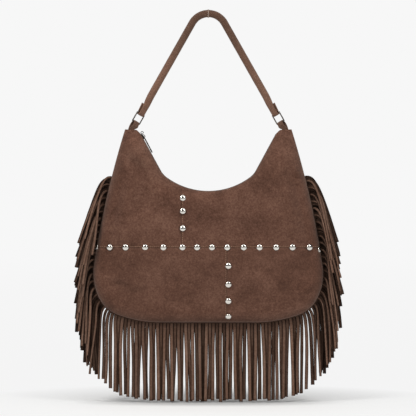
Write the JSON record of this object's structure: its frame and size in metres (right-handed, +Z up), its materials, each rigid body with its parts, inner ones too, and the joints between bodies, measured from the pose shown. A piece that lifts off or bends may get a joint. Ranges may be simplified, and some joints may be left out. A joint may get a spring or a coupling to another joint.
{
  "type": "fringed suede bag",
  "caption": "Soft suede shoulder bag with a deep U mouth closed by a zip, a studded patchwork front, a rolled strap on wire rings, and a cut fringe round its sides and bottom.",
  "frame": {"origin": "underside of the strap's crown, where a hook or a hand carries the bag", "axes": "+Z up as it hangs, the front faces -Y, +X to the right seen from the front"},
  "size_m": [0.4528, 0.0569, 0.653],
  "materials": {
    "suede": "matt brushed suede",
    "fringe_suede": "matt suede, cut edges",
    "strap_suede": "matt suede, rubbed lighter",
    "ring_nickel": "polished nickel plate",
    "stud_nickel": "polished nickel plate",
    "zip_nickel": "satin nickel plate",
    "zip_tape": "woven tape"
  },
  "bodies": {
    "strap": {"strap_left": "strap_suede", "strap_right": "strap_suede"},
    "left_ring": {"left_ring": "ring_nickel"},
    "right_ring": {"right_ring": "ring_nickel"},
    "bag": {"front_upper_left": "suede", "front_upper_right": "suede", "front_lower_left": "suede", "front_lower_right": "suede", "back": "suede", "fringe": "fringe_suede", "left_tab": "suede", "right_tab": "suede", "zip_tape_front": "zip_tape", "zip_tape_back": "zip_tape", "zip_teeth": "zip_nickel", "stud_01": "stud_nickel", "stud_02": "stud_nickel", "stud_03": "stud_nickel", "stud_04": "stud_nickel", "stud_05": "stud_nickel", "stud_06": "stud_nickel", "stud_07": "stud_nickel", "stud_08": "stud_nickel", "stud_09": "stud_nickel", "stud_10": "stud_nickel", "stud_11": "stud_nickel", "stud_12": "stud_nickel", "stud_13": "stud_nickel", "stud_14": "stud_nickel", "stud_15": "stud_nickel", "stud_16": "stud_nickel", "stud_17": "stud_nickel", "stud_18": "stud_nickel", "stud_19": "stud_nickel", "stud_20": "stud_nickel", "stud_21": "stud_nickel", "stud_22": "stud_nickel"},
    "zip_slider": {"zip_slider": "zip_nickel"},
    "zip_pull": {"zip_pull": "zip_nickel"}
  },
  "joints": [
    {"name": "left_ring_swing", "type": "hinge", "parent": "strap", "child": "left_ring", "pos_m": [-0.1118, 0, -0.15976], "axis": [1, 0, 0], "range_deg": [-15, 15]},
    {"name": "right_ring_swing", "type": "hinge", "parent": "strap", "child": "right_ring", "pos_m": [0.1118, 0, -0.15976], "axis": [1, 0, 0], "range_deg": [-15, 15]},
    {"name": "bag_swing", "type": "hinge", "parent": "left_ring", "child": "bag", "pos_m": [-0.1214, 0, -0.17673], "axis": [1, 0, 0], "range_deg": [-15, 15]},
    {"name": "zip_slide", "type": "slide", "parent": "bag", "child": "zip_slider", "axis": [0.4772, 0, -0.8788], "range_m": [0, 0.045]},
    {"name": "zip_pull_flip", "type": "hinge", "parent": "zip_slider", "child": "zip_pull", "pos_m": [-0.10728, 0, -0.19804], "axis": [0, -1, 0], "range_deg": [0, 140]}
  ],
  "couplings": [
    {"joint": "right_ring_swing", "follows": "left_ring_swing", "ratio": 1}
  ]
}
